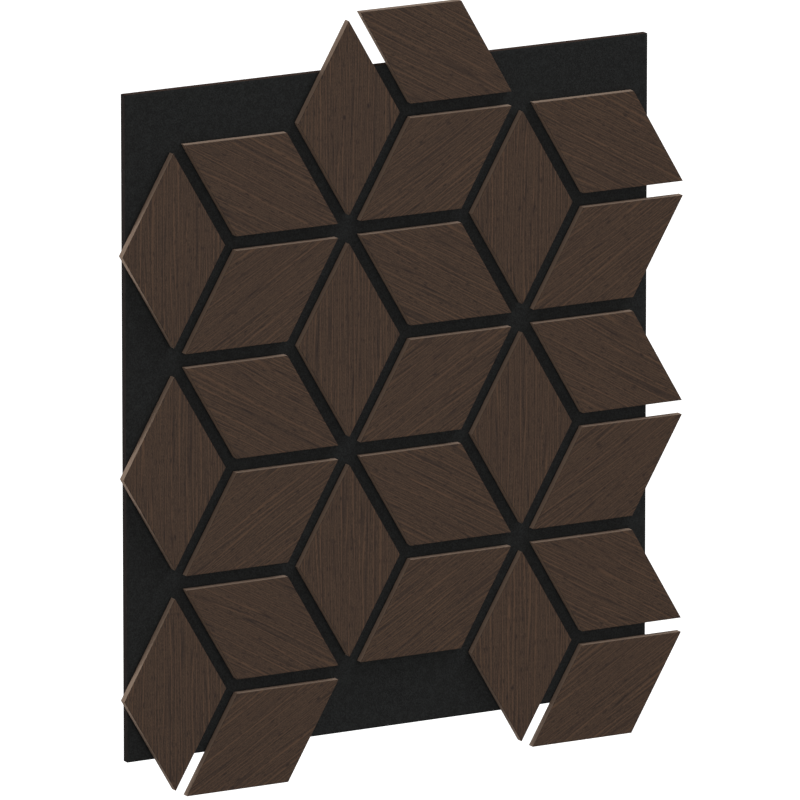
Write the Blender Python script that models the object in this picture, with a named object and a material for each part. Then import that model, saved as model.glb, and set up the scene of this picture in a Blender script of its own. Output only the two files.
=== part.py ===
"""Wall panel: rhombic veneered tiles glued to a felt board.

The tiles lie in a tumbling-blocks pattern. Three tiles share each hexagon's centre: an upright
tile to its left, an upper tile to its upper right and a lower tile to its lower right.

Metres, +Z up. The panel hangs in the XZ plane and its front looks towards -Y. The origin is the
centre of the felt board's back face, which lies against the wall.
"""
from math import pi, radians, sin, sqrt

import bpy

# Driving dimensions
COLUMNS = 3                 # columns of hexagons
ROWS = 3                    # hexagons in a column
COLUMN_PITCH = 0.200        # between the centres of two columns
TILE_GAP = 0.015            # straight across, between the sides of two tiles
TILE_THICKNESS = 0.0086     # 8 mm board with its veneer
FELT_THICKNESS = 0.009
LEFT_MARGIN = 0.117         # from the felt's left edge to the first column's centres
TOP_MARGIN = 0.049          # from the felt's top edge to the topmost centre
GLUE_LINE = 0.0003          # between the felt and the back of a tile

# Sizes that follow. One felt board spans one whole repeat of the pattern each way, so that the
# pattern runs on over boards laid edge to edge.
CORNER = radians(60)                              # a tile's sharp corner
LATTICE_SIDE = COLUMN_PITCH / 1.5                 # a column takes up one and a half sides
ROW_PITCH = LATTICE_SIDE * sqrt(3)
TILE_SIDE = LATTICE_SIDE - TILE_GAP / sin(CORNER)
FELT_WIDTH = COLUMNS * COLUMN_PITCH
FELT_HEIGHT = ROWS * ROW_PITCH
TILE_MIDDLE_Y = -(FELT_THICKNESS + GLUE_LINE + TILE_THICKNESS / 2)

# Each kind of tile is the same rhombus, turned about its hexagon's centre
TILE_TURNS = {"upper": radians(0), "upright": radians(120), "lower": radians(240)}

COLOURS = {
    "felt": (0.014, 0.014, 0.014, 1.0),
    "veneer": (0.056, 0.036, 0.026, 1.0),
}


def clear_scene():
    for leftover in list(bpy.data.objects):
        bpy.data.objects.remove(leftover, do_unlink=True)


def make_material(name, colour, roughness):
    material = bpy.data.materials.new(name)
    material.use_nodes = True
    shader = material.node_tree.nodes["Principled BSDF"]
    shader.inputs["Base Color"].default_value = colour
    shader.inputs["Roughness"].default_value = roughness
    shader.inputs["Metallic"].default_value = 0.0
    return material


def make_felt_backing(collection):
    """The felt board, a box whose back face stands in the wall plane."""
    bpy.ops.mesh.primitive_cube_add(size=1.0, location=(0, -FELT_THICKNESS / 2, 0))
    board = bpy.context.object
    board.name = "felt_backing"
    board.scale = (FELT_WIDTH, FELT_THICKNESS, FELT_HEIGHT)
    bpy.ops.object.transform_apply(location=False, rotation=False, scale=True)
    board.data.materials.append(make_material("black felt", COLOURS["felt"], 0.95))
    for owner in list(board.users_collection):
        owner.objects.unlink(board)
    collection.objects.link(board)


def tile_corners():
    """The rhombus between 0 and 120 degrees from a hexagon's centre, drawn in by half a gap.

    All four sides of a rhombus are as far from its middle, so drawing them in by one distance
    is the same as shrinking it about its middle.
    """
    reach = LATTICE_SIDE
    lattice = [(0, 0), (reach, 0), (reach / 2, ROW_PITCH / 2), (-reach / 2, ROW_PITCH / 2)]
    middle_x = sum(x for x, _ in lattice) / 4
    middle_z = sum(z for _, z in lattice) / 4
    shrink = TILE_SIDE / LATTICE_SIDE
    return [(middle_x + (x - middle_x) * shrink, middle_z + (z - middle_z) * shrink)
            for x, z in lattice]


def make_tile_outline():
    """The tile's flat outline, filled on both faces and as thick as the board."""
    outline = bpy.data.curves.new("tile outline", "CURVE")
    outline.dimensions = "2D"
    outline.fill_mode = "BOTH"
    outline.extrude = TILE_THICKNESS / 2
    corners = tile_corners()
    spline = outline.splines.new("POLY")
    spline.points.add(len(corners) - 1)
    for point, (x, z) in zip(spline.points, corners):
        point.co = (x, z, 0, 1)
    spline.use_cyclic_u = True
    outline.materials.append(make_material("dark veneer", COLOURS["veneer"], 0.5))
    return outline


def hexagon_centre(column, row):
    """Columns count from the left and rows from the top. Every second column is raised."""
    x = -FELT_WIDTH / 2 + LEFT_MARGIN + column * COLUMN_PITCH
    raised = column % 2 == 1
    drop = row * ROW_PITCH if raised else (row + 0.5) * ROW_PITCH
    z = FELT_HEIGHT / 2 - TOP_MARGIN - drop
    return x, z


def make_tiles(collection):
    outline = make_tile_outline()
    for column in range(COLUMNS):
        for row in range(ROWS):
            x, z = hexagon_centre(column, row)
            for kind, turn in TILE_TURNS.items():
                name = f"{kind}_tile_column{column + 1}_row{row + 1}"
                tile = bpy.data.objects.new(name, outline)
                tile.location = (x, TILE_MIDDLE_Y, z)
                # stood up into the wall plane, then turned about the hexagon's centre
                tile.rotation_euler = (pi / 2, -turn, 0)
                collection.objects.link(tile)


def main():
    clear_scene()
    collection = bpy.data.collections.new("tiled wall panel")
    bpy.context.scene.collection.children.link(collection)
    make_felt_backing(collection)
    make_tiles(collection)


main()
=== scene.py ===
import math

import bpy
import numpy as np
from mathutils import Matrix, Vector


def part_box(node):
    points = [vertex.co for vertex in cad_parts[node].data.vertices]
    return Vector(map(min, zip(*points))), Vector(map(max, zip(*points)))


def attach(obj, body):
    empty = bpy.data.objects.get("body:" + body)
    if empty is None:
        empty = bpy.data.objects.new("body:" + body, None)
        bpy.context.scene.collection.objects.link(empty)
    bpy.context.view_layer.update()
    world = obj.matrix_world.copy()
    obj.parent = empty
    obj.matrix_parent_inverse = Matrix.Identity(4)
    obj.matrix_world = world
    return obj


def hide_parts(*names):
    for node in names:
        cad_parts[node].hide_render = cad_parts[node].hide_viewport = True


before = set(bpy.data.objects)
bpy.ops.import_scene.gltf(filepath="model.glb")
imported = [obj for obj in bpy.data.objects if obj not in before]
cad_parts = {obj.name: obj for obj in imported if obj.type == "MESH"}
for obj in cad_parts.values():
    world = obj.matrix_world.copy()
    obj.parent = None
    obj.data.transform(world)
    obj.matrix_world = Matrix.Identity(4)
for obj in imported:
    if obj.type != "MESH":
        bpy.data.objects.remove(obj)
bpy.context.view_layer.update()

millimetre = 0.001


# Small helpers

def hexColour(code):
    # sRGB hex to the linear colour that the shaders take
    values = [int(code[i:i + 2], 16) / 255 for i in (1, 3, 5)]
    return tuple(v / 12.92 if v <= 0.04045 else ((v + 0.055) / 1.055) ** 2.4 for v in values) + (1.0,)


def addNode(tree, kind, sockets=None, **settings):
    # settings are the node's own, sockets holds a value or another node's output for each input
    node = tree.nodes.new(kind)
    for name, value in settings.items():
        setattr(node, name, value)
    for key, value in (sockets or {}).items():
        if isinstance(value, bpy.types.NodeSocket):
            tree.links.new(value, node.inputs[key])
        else:
            node.inputs[key].default_value = value
    return node


def newMaterial(name):
    material = bpy.data.materials.new(name)
    material.use_nodes = True
    tree = material.node_tree
    return material, tree, tree.nodes["Principled BSDF"]


def smoothNoise(x, y, seed):
    # random heights at whole numbers, joined by the curve 3t^2 - 2t^3 in x and in y; 0 to 1
    table = np.random.default_rng(seed).random((256, 256))
    ix, iy = np.floor(x).astype(int), np.floor(y).astype(int)
    tx, ty = x - ix, y - iy
    tx, ty = tx * tx * (3 - 2 * tx), ty * ty * (3 - 2 * ty)

    def corner(dx, dy):
        return table[(iy + dy) % 256, (ix + dx) % 256]

    low = corner(0, 0) * (1 - tx) + corner(1, 0) * tx
    high = corner(0, 1) * (1 - tx) + corner(1, 1) * tx
    return low * (1 - ty) + high * ty


# Slabs: the felt board and the tiles are both parallelograms cut from sheet

def insetShares(sideA, sideB, inset):
    # sides drawn in by one distance: side A keeps the share 1 - 2 * inset / h, where h = area / length of B
    # is how far apart the two sides along B lie, and the same for side B
    area = abs(sideA[0] * sideB[2] - sideA[2] * sideB[0])
    lengthA, lengthB = np.hypot(sideA[0], sideA[2]), np.hypot(sideB[0], sideB[2])
    return 1 - 2 * inset * lengthB / area, 1 - 2 * inset * lengthA / area


def quarterRound(radius):
    # (inset, depth) from the front plane round to the side: inset = r (1 - sin t), depth = r (1 - cos t)
    return [(radius * (1 - math.sin(t)), radius * (1 - math.cos(t))) for t in np.radians([0, 30, 60, 90])]


def rimFade(a, b):
    # 0 at the rim, 1 from a fortieth of the half width inwards
    return np.clip((1 - np.maximum(abs(a), abs(b))) * 40, 0, 1)


def slabMesh(name, centre, sideA, sideB, counts, profile, frontRelief, backRelief=None):
    # centre is on the front plane. A point is centre + a*A/2 + b*B/2 with a and b from -1 to 1. The front
    # grid ends in a loop, which the profile of (inset, depth) carries round the edge to the back. The mesh is
    # returned with each face's band: 0 the front, then one for each step of the profile, last the back.
    a, b = np.meshgrid(np.linspace(-1, 1, counts[0] + 1), np.linspace(-1, 1, counts[1] + 1))

    def place(a, b, inset, depth):
        shareA, shareB = insetShares(sideA, sideB, inset)
        points = centre + (a * shareA / 2)[..., None] * sideA + (b * shareB / 2)[..., None] * sideB
        points[..., 1] += depth
        return points

    def loopOf(grid):
        return np.concatenate([grid[0, :-1], grid[:-1, -1], grid[-1, :0:-1], grid[:0:-1, 0]])

    front = place(a, b, *profile[0])
    front[..., 1] += frontRelief(front[..., 0], front[..., 2], a, b)
    index = np.arange(a.size).reshape(a.shape)
    loop = loopOf(index)
    loopA, loopB = loopOf(a), loopOf(b)
    points = [front.reshape(-1, 3)]
    quads = [np.stack([index[:-1, :-1], index[:-1, 1:], index[1:, 1:], index[1:, :-1]], -1).reshape(-1, 4)]
    bands = [np.zeros(len(quads[0]), int)]
    made = a.size
    for band, (inset, depth) in enumerate(profile[1:], start=1):
        ring = np.arange(made, made + len(loop))
        points.append(place(loopA, loopB, inset, depth))
        quads.append(np.stack([loop, ring, np.roll(ring, -1), np.roll(loop, -1)], -1))
        bands.append(np.full(len(loop), band))
        made += len(loop)
        loop = ring
    lastBand = len(profile)
    if backRelief is None:
        polygons = [loop[::-1].tolist()]
        bands.append(np.array([lastBand]))
    else:
        back = place(a, b, *profile[-1])
        back[..., 1] -= backRelief(back[..., 0], back[..., 2], a, b)
        inner = np.arange(made, made + (a.shape[0] - 2) * (a.shape[1] - 2)).reshape(a.shape[0] - 2, -1)
        # the last loop is the rim of the back's grid
        grid = np.zeros(a.shape, int)
        grid[0, :-1], grid[:-1, -1] = loop[:counts[0]], loop[counts[0]:counts[0] + counts[1]]
        grid[-1, :0:-1] = loop[counts[0] + counts[1]:2 * counts[0] + counts[1]]
        grid[:0:-1, 0] = loop[2 * counts[0] + counts[1]:]
        grid[1:-1, 1:-1] = inner
        points.append(back[1:-1, 1:-1].reshape(-1, 3))
        quads.append(np.stack([grid[:-1, :-1], grid[1:, :-1], grid[1:, 1:], grid[:-1, 1:]], -1)
                     .reshape(-1, 4))
        bands.append(np.full(len(quads[-1]), lastBand))
        polygons = []
    mesh = bpy.data.meshes.new(name)
    mesh.from_pydata(np.concatenate(points), [], np.concatenate(quads).tolist() + polygons)
    mesh.polygons.foreach_set("use_smooth", np.ones(len(mesh.polygons), bool))
    mesh.update()
    return mesh, np.concatenate(bands)


def showPiece(name, mesh, node):
    piece = bpy.data.objects.new(name, mesh)
    bpy.context.scene.collection.objects.link(piece)
    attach(piece, "root")
    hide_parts(node)
    return piece


# Materials

veneer = {
    "dark": "#372a22",          # between the streaks
    "light": "#49392c",         # the lighter streaks
    "thread": "#523e2f",        # thin pale threads
    "pore": "#271e1a",          # open pores and dark lines along the grain
    "roughness": 0.55,
    "gloss": 0.15,
    # millimetres from here on; pairs are along and across the grain
    "swaySize": (110, 45),
    "sway": 3.5,                # shifts the grain by about 1 mm over a tile
    "streakSize": (70, 2.2),    # growth streaks
    "fibreSize": (2.4, 0.8),    # bundles of fibres
    "poreSize": (9, 0.9),
    "threadSpacing": 4.3,
    "threadHalfWidth": 0.9,
    "lineSpacing": 3.3,
    "lineHalfWidth": 0.8,
    "brushDepth": 0.1,
}


def veneerMaterial(kind, grainAngle):
    # Smoked oak veneer, sliced across the rings, brushed and matt lacquered: straight fine streaks along the
    # grain, thin pale threads and short dark pores, with a soft low gloss.
    material, tree, shader = newMaterial("smokedOakVeneer" + kind.capitalize())
    place = addNode(tree, "ShaderNodeTexCoord").outputs["Object"]
    # x along the grain and z across it, in millimetres
    grain = addNode(tree, "ShaderNodeMapping", {
        "Vector": place, "Rotation": (0, grainAngle, 0), "Scale": (1000, 1000, 1000)}).outputs["Vector"]

    def grainNoise(size, detail, roughness, vector):
        # each noise also starts at a place of its own
        along, across = size
        scaled = addNode(tree, "ShaderNodeVectorMath", {
            0: vector, 1: (1 / along, 1 / across, 1 / across), 2: (across * 7, along, across * 3)},
            operation="MULTIPLY_ADD").outputs[0]
        return addNode(tree, "ShaderNodeTexNoise", {
            "Vector": scaled, "Scale": 1.0, "Detail": detail, "Roughness": roughness}).outputs[0]

    sway = grainNoise(veneer["swaySize"], 0, 0.5, grain)
    sway = addNode(tree, "ShaderNodeMath", {0: sway, 1: veneer["sway"]}, operation="MULTIPLY").outputs[0]
    sway = addNode(tree, "ShaderNodeCombineXYZ", {2: sway}).outputs[0]
    swayed = addNode(tree, "ShaderNodeVectorMath", {0: grain, 1: sway}, operation="ADD").outputs[0]
    acrossGrain = addNode(tree, "ShaderNodeSeparateXYZ", {0: swayed}).outputs[2]
    wander = grainNoise((200, 8), 1, 0.5, swayed)

    def patches(size, low, high, least=0.0):
        # 1 where a stretched noise is above high, least where it is below low
        noise = grainNoise(size, 0, 0.5, swayed)
        return addNode(tree, "ShaderNodeMapRange", {
            "Value": noise, "From Min": low, "From Max": high, "To Min": least},
            interpolation_type="SMOOTHSTEP").outputs[0]

    def stripes(spacing, shift, halfWidth, strength):
        # lines along the grain, moved sideways by the shift, with soft sides and faded by the strength
        moved = addNode(tree, "ShaderNodeMath", {0: wander, 1: shift, 2: acrossGrain},
                        operation="MULTIPLY_ADD").outputs[0]
        away = addNode(tree, "ShaderNodeMath", {0: moved, 1: spacing / 2}, operation="PINGPONG").outputs[0]
        line = addNode(tree, "ShaderNodeMapRange", {"Value": away, "From Min": halfWidth, "From Max": 0},
                       interpolation_type="SMOOTHSTEP").outputs[0]
        return addNode(tree, "ShaderNodeMath", {0: line, 1: strength}, operation="MULTIPLY").outputs[0]

    streaks = grainNoise(veneer["streakSize"], 2, 0.8, swayed)
    fibres = grainNoise(veneer["fibreSize"], 1, 0.7, swayed)
    tone = addNode(tree, "ShaderNodeMath", {0: fibres, 1: 3.0, 2: streaks},
                   operation="MULTIPLY_ADD").outputs[0]
    growth = addNode(tree, "ShaderNodeMapRange", {"Value": tone, "From Min": 1.5, "From Max": 2.5},
                     interpolation_type="SMOOTHSTEP").outputs[0]
    # the threads and the dark lines come and go along the grain, and short pores lie between them
    threads = stripes(veneer["threadSpacing"], 10, veneer["threadHalfWidth"],
                      patches((50, 2.2), 0.30, 0.70, 0.70))
    lines = stripes(veneer["lineSpacing"], 16, veneer["lineHalfWidth"],
                    patches((20, 1.6), 0.40, 0.80, 0.45))
    pores = patches(veneer["poreSize"], 0.57, 0.83)
    dark = addNode(tree, "ShaderNodeMath", {0: pores, 1: lines}, operation="MAXIMUM").outputs[0]
    # each share lays its colour over the last
    colour = hexColour(veneer["dark"])
    for share, over in ((growth, "light"), (threads, "thread"), (dark, "pore")):
        colour = addNode(tree, "ShaderNodeMix", {0: share, 6: colour, 7: hexColour(veneer[over])},
                         data_type="RGBA").outputs[2]
    height = addNode(tree, "ShaderNodeMath", {0: tone, 1: dark}, operation="SUBTRACT").outputs[0]
    bump = addNode(tree, "ShaderNodeBump", {
        "Height": height, "Strength": 0.3, "Distance": veneer["brushDepth"] * millimetre})

    tree.links.new(colour, shader.inputs["Base Color"])
    tree.links.new(bump.outputs[0], shader.inputs["Normal"])
    shader.inputs["Roughness"].default_value = veneer["roughness"]
    shader.inputs["Specular IOR Level"].default_value = veneer["gloss"]
    return material


board = {
    "light": "#8a7869",
    "dark": "#827062",
    "speckSize": 0.7 * millimetre,      # coarser than the real fibres, so that it shows
    "cloudSize": 22 * millimetre,
    "speckDepth": 0.08 * millimetre,
    "paperLight": "#6a5646",
    "paperDark": "#4a3b31",
    "paperFibre": 1.5 * millimetre,
}


def boardEdgeMaterial():
    # Medium-density fibreboard, sawn and sanded: an even matt greige with fine specks and faint clouds.
    material, tree, shader = newMaterial("sandedFibreboardEdge")
    place = addNode(tree, "ShaderNodeTexCoord").outputs["Object"]
    specks = addNode(tree, "ShaderNodeTexNoise", {
        "Vector": place, "Scale": 1 / board["speckSize"], "Detail": 2.0, "Roughness": 0.6}).outputs[0]
    clouds = addNode(tree, "ShaderNodeTexNoise", {
        "Vector": place, "Scale": 1 / board["cloudSize"], "Detail": 1.0}).outputs[0]
    both = addNode(tree, "ShaderNodeMath", {0: specks, 1: clouds}, operation="ADD").outputs[0]
    share = addNode(tree, "ShaderNodeMapRange", {
        "Value": both, "From Min": 0.75, "From Max": 1.25}).outputs[0]
    colour = addNode(tree, "ShaderNodeMix", {
        0: share, 6: hexColour(board["dark"]), 7: hexColour(board["light"])}, data_type="RGBA").outputs[2]
    bump = addNode(tree, "ShaderNodeBump", {
        "Height": specks, "Strength": 0.3, "Distance": board["speckDepth"]})
    tree.links.new(colour, shader.inputs["Base Color"])
    tree.links.new(bump.outputs[0], shader.inputs["Normal"])
    shader.inputs["Roughness"].default_value = 0.85
    shader.inputs["Specular IOR Level"].default_value = 0.2
    return material


def balancingPaperMaterial():
    # Kraft balancing paper pressed on the back: dull mid brown, mottled by its fibres.
    material, tree, shader = newMaterial("kraftBalancingPaper")
    place = addNode(tree, "ShaderNodeTexCoord").outputs["Object"]
    fibres = addNode(tree, "ShaderNodeTexNoise", {
        "Vector": place, "Scale": 1 / board["paperFibre"], "Detail": 4.0, "Roughness": 0.7}).outputs[0]
    colour = addNode(tree, "ShaderNodeMix", {
        0: fibres, 6: hexColour(board["paperDark"]), 7: hexColour(board["paperLight"])},
        data_type="RGBA").outputs[2]
    tree.links.new(colour, shader.inputs["Base Color"])
    shader.inputs["Roughness"].default_value = 0.8
    shader.inputs["Specular IOR Level"].default_value = 0.2
    return material


felt = {
    "ground": "#1c1d1d",
    "fibre": "#292b2b",
    "cutEdge": "#2d2927",
    "cutEdgeDark": "#232020",
    "topFootCutHighlight": "#45372f",            # painted highlight: lighter and browner than the left and right cut sides, standing in for light from above; used at the top and the foot
    "topFootCutHighlightDark": "#372b27",
    "fuzzSize": 1.4 * millimetre,
    "tuftSize": 9 * millimetre,
    "fuzzDepth": 0.3 * millimetre,
    "lumpSizes": (14 * millimetre, 8 * millimetre),
    "relief": 0.15 * millimetre,    # the lumps that needling leaves
    "rimRadius": 0.5 * millimetre,
    "counts": (172, 198),           # grid steps across and up
}


def feltMaterial(name, ground, fibre):
    # Needled polyester felt pressed into a board: matt black, mottled by tufts of fibre, no gloss.
    material, tree, shader = newMaterial(name)
    place = addNode(tree, "ShaderNodeTexCoord").outputs["Object"]
    fuzz = addNode(tree, "ShaderNodeTexNoise", {
        "Vector": place, "Scale": 1 / felt["fuzzSize"], "Detail": 2.0, "Roughness": 0.6}).outputs[0]
    tufts = addNode(tree, "ShaderNodeTexNoise", {
        "Vector": place, "Scale": 1 / felt["tuftSize"], "Detail": 2.0, "Roughness": 0.5}).outputs[0]
    both = addNode(tree, "ShaderNodeMath", {0: tufts, 1: 0.3, 2: fuzz},
                   operation="MULTIPLY_ADD").outputs[0]
    share = addNode(tree, "ShaderNodeMapRange", {
        "Value": both, "From Min": 0.52, "From Max": 0.90}).outputs[0]
    colour = addNode(tree, "ShaderNodeMix", {
        0: share, 6: hexColour(ground), 7: hexColour(fibre)}, data_type="RGBA").outputs[2]
    bump = addNode(tree, "ShaderNodeBump", {
        "Height": fuzz, "Strength": 0.5, "Distance": felt["fuzzDepth"]})
    tree.links.new(colour, shader.inputs["Base Color"])
    tree.links.new(bump.outputs[0], shader.inputs["Normal"])
    shader.inputs["Roughness"].default_value = 1.0
    shader.inputs["Specular IOR Level"].default_value = 0.05
    return material


# The felt board

def makeFelt():
    low, high = (np.array(corner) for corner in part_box("felt_backing"))
    centre = np.array([(low[0] + high[0]) / 2, low[1], (low[2] + high[2]) / 2])
    depth = high[1] - low[1]
    # a quarter round at the front, the cut side, and a quarter round at the back
    profile = quarterRound(felt["rimRadius"])
    profile += [(0, depth * share) for share in (0.25, 0.5, 0.75)]
    profile += [(i, depth - d) for i, d in profile[3::-1]]

    def lumps(seed):
        # a wide and a narrow noise, always into the board; none at the rim
        def relief(x, z, a, b):
            wide, narrow = felt["lumpSizes"]
            height = 0.6 * smoothNoise(x / wide, z / wide, seed)
            height += 0.4 * smoothNoise(x / narrow, z / narrow, seed + 1)
            return felt["relief"] * height * rimFade(a, b)
        return relief

    width, height = np.array([high[0] - low[0], 0, 0]), np.array([0, 0, high[2] - low[2]])
    mesh, bands = slabMesh("felt", centre, width, height, felt["counts"], profile, lumps(3), lumps(5))
    mesh.materials.append(feltMaterial("needledPolyesterFelt", felt["ground"], felt["fibre"]))
    mesh.materials.append(feltMaterial("cutFeltEdge", felt["cutEdgeDark"], felt["cutEdge"]))
    # the top and foot cut sides get a lighter, browner copy of the cut edge: a painted highlight for light
    # from above
    mesh.materials.append(feltMaterial("cutFeltTopFootHighlight", felt["topFootCutHighlightDark"], felt["topFootCutHighlight"]))
    normals = np.zeros(3 * len(bands), np.float32)
    mesh.polygons.foreach_get("normal", normals)
    # between the two quarter rounds: 1 on the left and right, 2 on the top and the foot, the copy with the
    # painted highlight
    side = (bands > 3) & (bands < 8)
    slots = np.where(side, np.where(abs(normals[2::3]) > 0.5, 2, 1), 0)
    mesh.polygons.foreach_set("material_index", slots.astype(np.int32))
    showPiece("felt_board", mesh, "felt_backing")


# The tiles

tile = {
    "veneer": 0.6 * millimetre,
    "arris": 0.2 * millimetre,          # the sanded corner between face and side
    "glueGroove": 0.04 * millimetre,    # how far the glue line lies back
    "relief": 0.05 * millimetre,        # brushed grain
    "ridgeSize": (50 * millimetre, 2.4 * millimetre),
    "pitSize": (10 * millimetre, 1.6 * millimetre),
    "count": 80,                        # grid steps along a side
    "turns": {"upper": 0, "upright": 120, "lower": 240},    # where the first side points, in degrees
}


def makeTile(node, kind, materials, seed):
    low, high = (np.array(corner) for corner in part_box(node))
    centre = np.array([(low[0] + high[0]) / 2, low[1], (low[2] + high[2]) / 2])
    depth = high[1] - low[1]
    # an upright rhombus is one side wide, and the others one and a half
    side = high[0] - low[0] if kind == "upright" else (high[0] - low[0]) / 1.5
    first = math.radians(tile["turns"][kind])
    second = first + math.radians(120)
    sideA = side * np.array([math.cos(first), 0, math.sin(first)])
    sideB = side * np.array([math.cos(second), 0, math.sin(second)])
    along = (sideA - sideB) / np.linalg.norm(sideA - sideB)
    across = (sideA + sideB) / np.linalg.norm(sideA + sideB)

    def grainRelief(x, z, a, b):
        # ridges along the long diagonal, and pores as short pits; none at the rim
        dx, dz = x - centre[0], z - centre[2]
        u = dx * along[0] + dz * along[2]
        v = dx * across[0] + dz * across[2]
        ridgeLong, ridgeWide = tile["ridgeSize"]
        pitLong, pitWide = tile["pitSize"]
        ridges = smoothNoise(u / ridgeLong, v / ridgeWide, seed)
        pits = np.clip((smoothNoise(u / pitLong, v / pitWide, seed + 50) - 0.75) * 4, 0, 1)
        return tile["relief"] * (0.6 * ridges + 0.4 * pits) * rimFade(a, b)

    arris, sheet, groove = tile["arris"], tile["veneer"], tile["glueGroove"]
    # front arris, edge of the veneer, glue line, core, glue line, edge of the paper
    profile = quarterRound(arris)
    profile += [(0, sheet), (groove, sheet + groove), (0, sheet + 2 * groove), (0, depth / 2),
                (0, depth - sheet), (groove, depth - sheet + groove), (0, depth - sheet + 2 * groove),
                (0, depth - arris), (arris / 2, depth)]
    counts = (tile["count"], tile["count"])
    mesh, bands = slabMesh(node + "_mesh", centre, sideA, sideB, counts, profile, grainRelief)
    for material in materials:
        mesh.materials.append(material)
    # 0 the veneer's face and edge, 1 the board, 2 the paper on the back
    slots = np.where(bands <= 4, 0, np.where(bands <= 9, 1, 2))
    mesh.polygons.foreach_set("material_index", slots.astype(np.int32))
    mesh.set_sharp_from_angle(angle=math.radians(40))
    showPiece("veneered_" + node, mesh, node)


def makeTiles():
    core, paper = boardEdgeMaterial(), balancingPaperMaterial()
    for kindNumber, (kind, turn) in enumerate(tile["turns"].items()):
        # the long diagonal, and so the grain, lies 30 degrees short of the first side
        face = veneerMaterial(kind, math.radians(turn - 30))
        nodes = sorted(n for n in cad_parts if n.startswith(kind + "_tile"))
        for number, node in enumerate(nodes):
            makeTile(node, kind, [face, core, paper], 100 * kindNumber + number)


# Camera, floor and light

camera = {
    "yaw": 28.35,               # turned to the right of the panel's own axis
    "pitch": 14.02,             # looking down
    "distance": 15.56,
    "lens": 689.0,
    "aim": (0.0133, -0.009, -0.0050),
}


def makeCamera():
    data = bpy.data.cameras.new("camera")
    data.sensor_width = 36.0
    data.lens = camera["lens"]
    data.clip_end = 100.0
    viewer = bpy.data.objects.new("camera", data)
    bpy.context.scene.collection.objects.link(viewer)
    yaw, pitch = math.radians(camera["yaw"]), math.radians(camera["pitch"])
    forward = Vector((math.sin(yaw) * math.cos(pitch), math.cos(yaw) * math.cos(pitch), -math.sin(pitch)))
    viewer.location = Vector(camera["aim"]) - forward * camera["distance"]
    viewer.rotation_euler = forward.to_track_quat("-Z", "Y").to_euler()
    bpy.context.scene.camera = viewer


studio = {
    "floorHeight": -1.2,
    "floorGrey": 0.33,              # what the floor throws back on the panel
    "ambient": (0.67, 0.62, 0.60, 1),
    "ambientBehind": (0.12, 0.12, 0.12, 1),
    # place, size, watts, colour
    "lights": {
        "overhead": ((3.3, -1.5, 5.5), 3.0, 265.0, (0.965, 1, 1.03)),   # faces and upper sides
        "front": ((0.3, -4.5, -0.2), 3.0, 76.0, (1, 0.985, 0.975)),     # faces and the felt in the gaps
        "leftBehind": ((-1.35, 0.34, 0.2), 0.5, 8.6, (1, 1, 1)),        # sides that look left
        "back": ((0.0, 12.0, 0.0), 1.0, 900.0, (1, 1, 1)),              # the panel's back
    },
}


def makeFloor():
    bpy.ops.mesh.primitive_plane_add(size=60.0, location=(0, 0, studio["floorHeight"]))
    floor = bpy.context.object
    floor.name = "studioFloor"
    material, tree, shader = newMaterial("whiteStudioFloor")
    grey = studio["floorGrey"]
    shader.inputs["Base Color"].default_value = (grey, grey, grey, 1)
    shader.inputs["Roughness"].default_value = 0.9
    # the camera sees the floor as white as the backdrop, and sees through it from below
    seen = addNode(tree, "ShaderNodeLightPath").outputs["Is Camera Ray"]
    glow = addNode(tree, "ShaderNodeEmission", {"Color": (1, 1, 1, 1), "Strength": seen})
    both = addNode(tree, "ShaderNodeAddShader", {0: shader.outputs[0], 1: glow.outputs[0]})
    below = addNode(tree, "ShaderNodeNewGeometry").outputs["Backfacing"]
    clear = addNode(tree, "ShaderNodeBsdfTransparent")
    surface = addNode(tree, "ShaderNodeMixShader", {0: below, 1: both.outputs[0], 2: clear.outputs[0]})
    tree.links.new(surface.outputs[0], tree.nodes["Material Output"].inputs["Surface"])
    floor.data.materials.append(material)


def makeWorld():
    world = bpy.data.worlds.new("studio")
    world.use_nodes = True
    bpy.context.scene.world = world
    tree = world.node_tree
    # the camera sees white, the panel a warm grey that is dimmer behind it
    direction = addNode(tree, "ShaderNodeTexCoord").outputs["Generated"]
    towardWall = addNode(tree, "ShaderNodeSeparateXYZ", {0: direction}).outputs["Y"]
    behind = addNode(tree, "ShaderNodeMapRange", {
        "Value": towardWall, "From Min": -0.2, "From Max": 0.2}).outputs[0]
    light = addNode(tree, "ShaderNodeMix", {
        0: behind, 6: studio["ambient"], 7: studio["ambientBehind"]}, data_type="RGBA").outputs[2]
    seen = addNode(tree, "ShaderNodeLightPath").outputs["Is Camera Ray"]
    colour = addNode(tree, "ShaderNodeMix", {
        0: seen, 6: light, 7: (1, 1, 1, 1)}, data_type="RGBA").outputs[2]
    tree.links.new(colour, tree.nodes["Background"].inputs["Color"])


def makeLights():
    # all aimed at the panel's middle, and none of them seen by the camera
    for name, (place, size, watts, colour) in studio["lights"].items():
        data = bpy.data.lights.new(name, "AREA")
        data.size = size
        data.energy = watts
        data.color = colour
        light = bpy.data.objects.new(name, data)
        light.location = place
        light.rotation_euler = (-Vector(place)).to_track_quat("-Z", "Y").to_euler()
        light.visible_camera = False
        bpy.context.scene.collection.objects.link(light)


makeCamera()
makeFloor()
makeWorld()
makeLights()
print("camera, floor and lights")
makeFelt()
print("felt board")
makeTiles()
print("tiles")
bpy.context.scene.view_settings.view_transform = "Standard"
